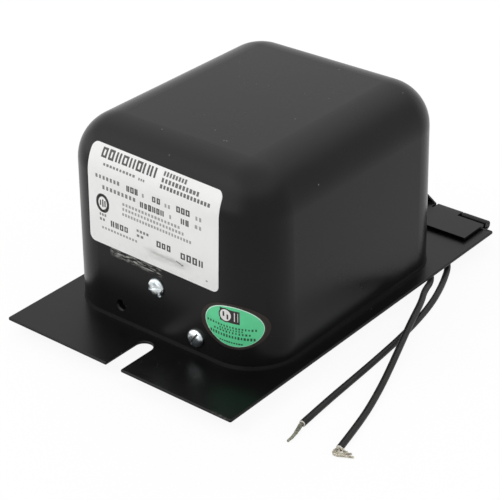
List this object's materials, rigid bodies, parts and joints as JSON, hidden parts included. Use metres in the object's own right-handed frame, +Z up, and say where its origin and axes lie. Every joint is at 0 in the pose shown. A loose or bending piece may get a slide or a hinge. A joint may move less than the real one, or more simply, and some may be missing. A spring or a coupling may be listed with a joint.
{
  "type": "ignition transformer",
  "caption": "Ignition transformer: a deep-drawn black can on a slotted base plate with a folded rear hinge leaf, high-voltage bushings below and two loose wire leads.",
  "frame": {"origin": "centre of the footprint of plate and hinge, on the surface that the bushings stand on", "axes": "+Z up, +Y from the slotted front edge towards the hinge, +X to the side where the leads come out"},
  "size_m": [0.1815, 0.2094, 0.0991],
  "materials": {
    "black_enamel": "semi-gloss black enamel",
    "zinc_steel": "zinc plated",
    "core_steel": "bare silicon steel laminations",
    "copper_wire": "bare copper wire",
    "tinned_wire": "tinned copper strands",
    "winding": "enamelled winding wire under varnish",
    "form_paper": "kraft paper",
    "compound": "dull asphalt compound",
    "porcelain": "glazed off-white",
    "brass": "plain brass",
    "sleeve_rubber": "moulded rubber",
    "lead_sheath": "smooth black sheath",
    "label_white": "coated white label",
    "sticker_green": "green foil sticker with a dark rim"
  },
  "bodies": {
    "base": {"base_plate": "black_enamel", "bushing_left": "porcelain", "bushing_right": "porcelain", "case_bracket_back": "black_enamel", "case_bracket_front": "black_enamel", "case_nuts": "zinc_steel", "case_screws": "zinc_steel", "case_shell": "black_enamel", "core_bolts": "zinc_steel", "core_e_stack": "core_steel", "core_i_stack": "core_steel", "core_nuts": "zinc_steel", "ground_strap": "copper_wire", "hinge_fixed_leaf": "black_enamel", "hinge_pin": "black_enamel", "lead_a": "lead_sheath", "lead_a_strands": "tinned_wire", "lead_b": "lead_sheath", "lead_b_strands": "tinned_wire", "lead_sleeve": "sleeve_rubber", "magnetic_shunt_back_left": "core_steel", "magnetic_shunt_back_right": "core_steel", "magnetic_shunt_front_left": "core_steel", "magnetic_shunt_front_right": "core_steel", "oval_sticker": "sticker_green", "potting_compound": "compound", "primary_coil": "winding", "primary_form": "form_paper", "rating_label": "label_white", "secondary_back_coil": "winding", "secondary_back_form": "form_paper", "secondary_front_coil": "winding", "secondary_front_form": "form_paper", "secondary_lead_left": "copper_wire", "secondary_lead_right": "copper_wire", "terminal_nut_left": "brass", "terminal_nut_right": "brass", "terminal_stud_left": "brass", "terminal_stud_right": "brass"},
    "hinge_leaf": {"hinge_free_leaf": "black_enamel"}
  },
  "joints": [
    {"name": "leaf_hinge", "type": "hinge", "parent": "base", "child": "hinge_leaf", "pos_m": [0, 0.10237, 0.0071], "axis": [-1, 0, 0], "range_deg": [0, 225]}
  ]
}
